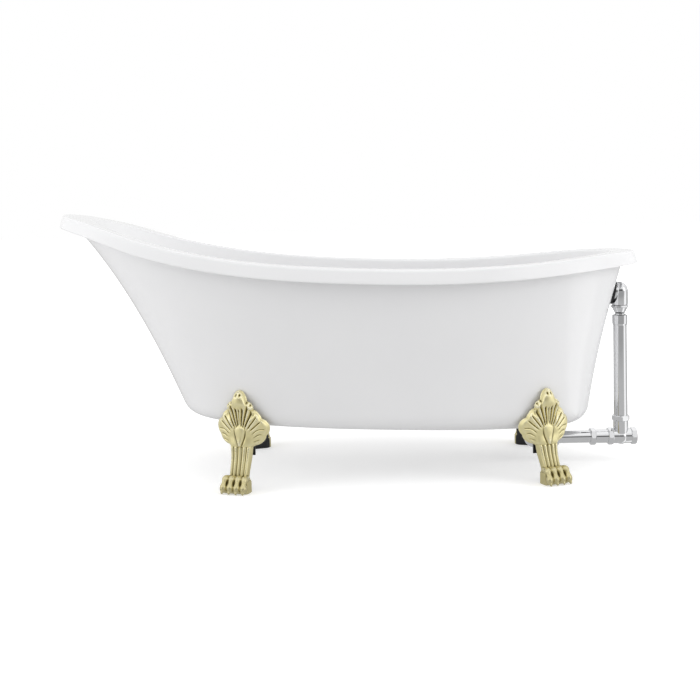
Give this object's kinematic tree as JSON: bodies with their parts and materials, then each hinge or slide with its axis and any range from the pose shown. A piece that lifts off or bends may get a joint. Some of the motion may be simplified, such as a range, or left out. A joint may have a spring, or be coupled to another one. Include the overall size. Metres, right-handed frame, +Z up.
{
  "type": "bathtub",
  "caption": "Freestanding slipper bathtub with a high sloping back, rolled rim, gilt claw feet, lift-up stopper and an exposed chrome overflow and waste run.",
  "frame": {"origin": "on the floor, under the centre of the bounding box", "axes": "+X from the high back to the drain end, +Y across the tub to a bather's left, +Z up"},
  "size_m": [1.602, 0.7202, 0.738],
  "materials": {
    "acrylic": "white high-gloss acrylic",
    "board": "resin-sealed board",
    "gilt": "pale gold finish on a cast foot",
    "bracket_black": "black painted steel",
    "steel": "zinc plated",
    "chrome": "polished chrome plate",
    "brass_stem": "plain brass",
    "rubber": "black rubber"
  },
  "bodies": {
    "tub": {"basin": "acrylic", "outer_shell": "acrylic", "base_board": "board", "foot_back_left": "gilt", "foot_back_right": "gilt", "foot_front_left": "gilt", "foot_front_right": "gilt", "bracket_back_left": "bracket_black", "bracket_back_right": "bracket_black", "bracket_front_left": "bracket_black", "bracket_front_right": "bracket_black", "bracket_screws": "steel", "foot_bolts": "steel", "foot_washers": "steel", "overflow_plate": "chrome", "overflow_screw": "chrome", "overflow_elbow": "chrome", "elbow_nut": "chrome", "overflow_tube": "chrome", "waste_tee": "chrome", "tee_branch_nut": "chrome", "tee_inlet_nut": "chrome", "outlet_nut": "chrome", "coupling_sleeve": "chrome", "coupling_nut": "chrome", "drain_tube": "chrome", "shoe_nut": "chrome", "drain_shoe": "chrome", "drain_flange": "chrome", "overflow_inner_gasket": "rubber", "overflow_outer_gasket": "rubber", "tube_seal": "rubber", "tee_washers": "rubber", "tube_washers": "rubber", "drain_lower_gasket": "rubber", "drain_seal": "rubber"},
    "stopper": {"stopper_cap": "chrome", "stopper_stem": "brass_stem", "stopper_seal": "rubber"},
    "leveller_back_left": {"leveller_back_left": "steel"},
    "leveller_back_right": {"leveller_back_right": "steel"},
    "leveller_front_left": {"leveller_front_left": "steel"},
    "leveller_front_right": {"leveller_front_right": "steel"}
  },
  "joints": [
    {"name": "stopper_lift", "type": "slide", "parent": "tub", "child": "stopper", "axis": [0, 0, 1], "range_m": [0, 0.01]},
    {"name": "level_back_left", "type": "slide", "parent": "tub", "child": "leveller_back_left", "axis": [0, 0, -1], "range_m": [0, 0.012]},
    {"name": "level_back_right", "type": "slide", "parent": "tub", "child": "leveller_back_right", "axis": [0, 0, -1], "range_m": [0, 0.012]},
    {"name": "level_front_left", "type": "slide", "parent": "tub", "child": "leveller_front_left", "axis": [0, 0, -1], "range_m": [0, 0.012]},
    {"name": "level_front_right", "type": "slide", "parent": "tub", "child": "leveller_front_right", "axis": [0, 0, -1], "range_m": [0, 0.012]}
  ]
}
